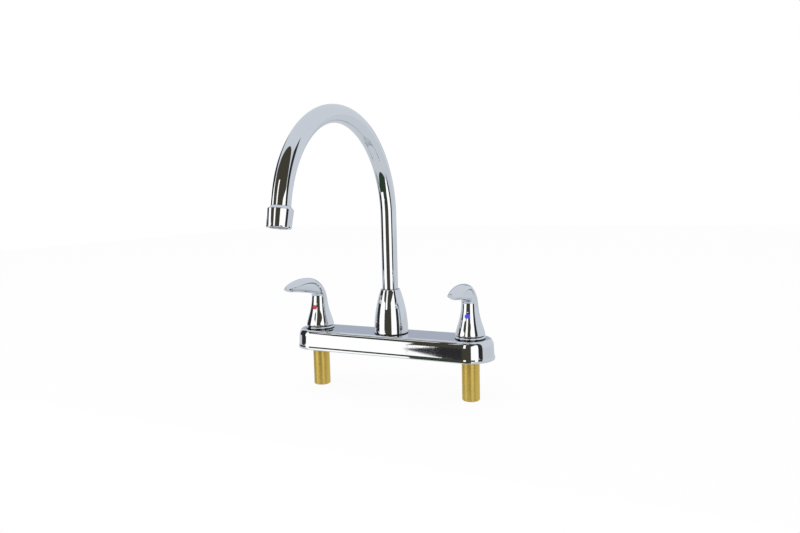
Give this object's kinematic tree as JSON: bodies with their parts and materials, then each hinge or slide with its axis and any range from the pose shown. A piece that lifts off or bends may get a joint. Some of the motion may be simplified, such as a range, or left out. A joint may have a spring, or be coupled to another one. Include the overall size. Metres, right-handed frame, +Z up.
{
  "type": "two handle kitchen faucet",
  "caption": "Deck-mounted kitchen faucet: a swivelling gooseneck spout with aerator stands between hot and cold lever valves on one long cover, with threaded shanks below.",
  "frame": {"origin": "middle of the deck cover's underside, on the counter", "axes": "+X towards the cold valve, -Y from the spout out over the sink to the user, +Z up"},
  "size_m": [0.26, 0.2623, 0.3345],
  "materials": {
    "chrome": "bright chrome plate",
    "brass": "plain machined brass",
    "copper": "drawn copper tube",
    "steel": "plain stainless steel",
    "ceramic": "lapped white alumina ceramic",
    "rubber": "black sealing rubber",
    "cartridge_plastic": "moulded pale plastic",
    "plate_plastic": "moulded dark grey plastic",
    "glide_plastic": "black low-friction plastic",
    "insert_plastic": "moulded white plastic",
    "hot_index": "red plastic",
    "cold_index": "blue plastic"
  },
  "bodies": {
    "base": {"deck_cover": "chrome", "putty_plate": "plate_plastic", "spout_post": "brass", "post_lock_nut": "brass", "post_o_rings": "rubber", "glide_ring": "glide_plastic", "hot_shank": "brass", "hot_valve_body": "brass", "hot_crossover_tube": "copper", "hot_seat_seal": "rubber", "hot_cartridge_housing": "cartridge_plastic", "hot_fixed_disc": "ceramic", "hot_bonnet_nut": "brass", "hot_trim_ring": "chrome", "cold_shank": "brass", "cold_valve_body": "brass", "cold_crossover_tube": "copper", "cold_seat_seal": "rubber", "cold_cartridge_housing": "cartridge_plastic", "cold_fixed_disc": "ceramic", "cold_bonnet_nut": "brass", "cold_trim_ring": "chrome"},
    "hot_lever": {"hot_handle": "chrome", "hot_index_plug": "hot_index", "hot_set_screw": "steel", "hot_stem": "brass", "hot_turning_disc": "ceramic", "hot_stem_o_ring": "rubber"},
    "cold_lever": {"cold_handle": "chrome", "cold_index_plug": "cold_index", "cold_set_screw": "steel", "cold_stem": "brass", "cold_turning_disc": "ceramic", "cold_stem_o_ring": "rubber"},
    "spout": {"spout_tube": "chrome", "spout_hub": "chrome", "spout_ferrule": "brass", "retaining_clip": "steel", "aerator_housing": "chrome", "aerator_washer": "rubber", "aerator_screen": "steel", "aerator_insert": "insert_plastic"}
  },
  "joints": [
    {"name": "spout_swivel", "type": "hinge", "parent": "base", "child": "spout", "pos_m": [0, 0, 0.04], "axis": [0, 0, 1], "continuous": true},
    {"name": "hot_turn", "type": "hinge", "parent": "base", "child": "hot_lever", "pos_m": [-0.1016, 0, 0.04], "axis": [0, 0, 1], "range_deg": [-90, 0]},
    {"name": "cold_turn", "type": "hinge", "parent": "base", "child": "cold_lever", "pos_m": [0.1016, 0, 0.04], "axis": [0, 0, 1], "range_deg": [0, 90]}
  ]
}
